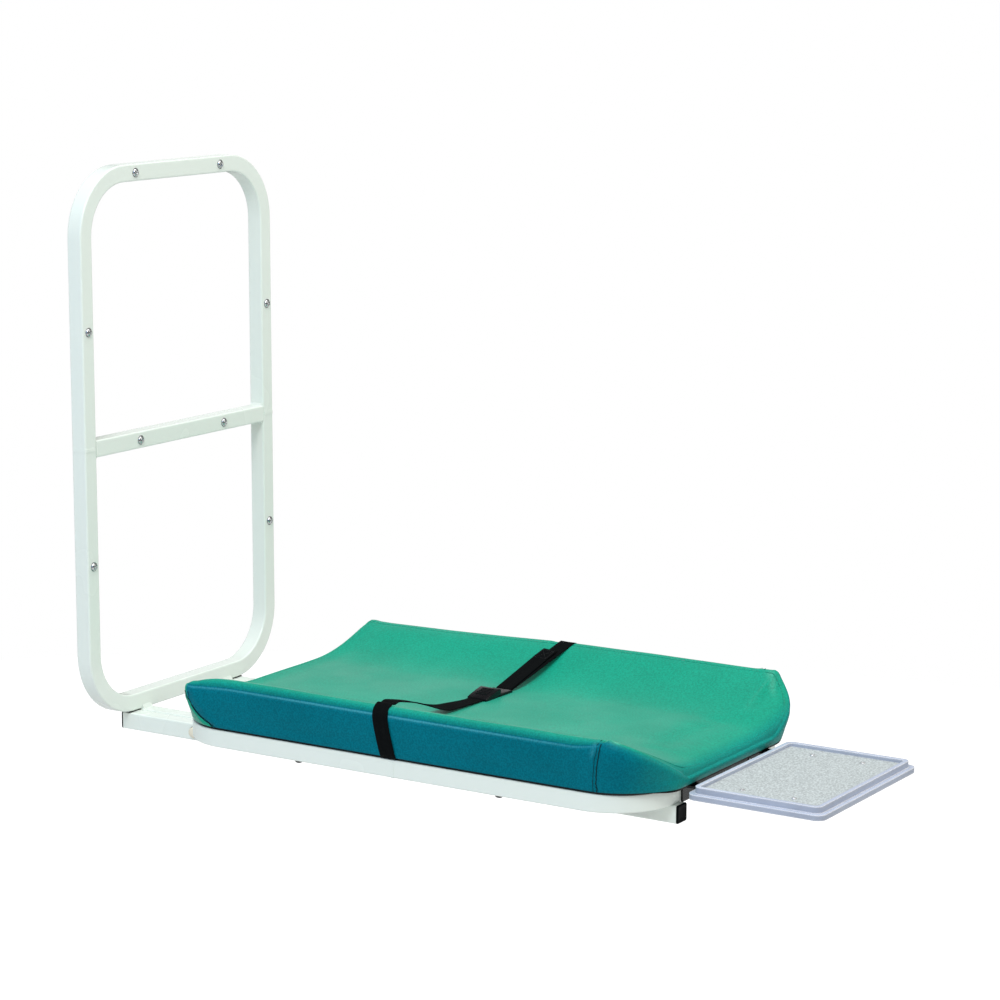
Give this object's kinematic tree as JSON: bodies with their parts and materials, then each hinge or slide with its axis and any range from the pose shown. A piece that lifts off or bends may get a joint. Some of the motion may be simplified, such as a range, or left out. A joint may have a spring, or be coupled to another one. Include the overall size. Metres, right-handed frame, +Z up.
{
  "type": "wall-mounted folding changing station",
  "caption": "Wall-mounted changing station: a tube frame on the wall, and a folding platform with a raised-side padded mat, a safety strap and a small tray in front.",
  "frame": {"origin": "middle of the wall frame, on the plane of the wall", "axes": "+Z up, +Y into the wall, +X to the right of someone who faces the wall"},
  "size_m": [0.4758, 1.1695, 0.831],
  "materials": {
    "white_enamel": "gloss",
    "chrome_screws": "polished",
    "zinc": "satin",
    "black_plastic": "matte",
    "pad_rubber": "matte",
    "ivory_cap": "gloss",
    "bush_nylon": "matte",
    "mat_vinyl": "semi-gloss vinyl over foam",
    "webbing": "woven",
    "board_black": "painted",
    "black_steel": "satin",
    "tray_plastic": "gloss, slightly clear",
    "liner_grey": "matte"
  },
  "bodies": {
    "wall_side": {"wall_frame_upper": "white_enamel", "wall_frame_lower": "white_enamel", "wall_crossbar": "white_enamel", "wall_frame_welds": "white_enamel", "wall_screws": "chrome_screws", "wall_screw_washers": "chrome_screws", "hinge_arm_left": "white_enamel", "hinge_arm_right": "white_enamel", "arm_end_plugs": "black_plastic", "stop_pads": "pad_rubber", "pivot_bolts": "zinc", "pivot_bolt_caps": "ivory_cap", "pivot_nuts": "zinc"},
    "platform": {"pivot_bushes": "bush_nylon", "rail_left": "white_enamel", "rail_right": "white_enamel", "rail_rear_plugs": "black_plastic", "rail_front_plugs": "black_plastic", "ring_rear_half": "white_enamel", "ring_front_half": "white_enamel", "platform_welds": "white_enamel", "mat_board": "board_black", "board_screws": "black_steel", "board_nuts": "zinc", "changing_mat": "mat_vinyl", "strap_near": "webbing", "strap_far": "webbing", "strap_tail": "webbing", "buckle_socket": "black_plastic", "buckle_tongue": "black_plastic", "tray": "tray_plastic", "tray_liner": "liner_grey", "tray_bracket": "black_steel", "tray_screws": "chrome_screws", "tray_nuts": "zinc", "bracket_screws": "chrome_screws", "bracket_rivet_nuts": "zinc"}
  },
  "joints": [
    {"name": "platform_fold", "type": "hinge", "parent": "wall_side", "child": "platform", "pos_m": [0, -0.144, -0.416], "axis": [-1, 0, 0], "range_deg": [0, 90]}
  ]
}
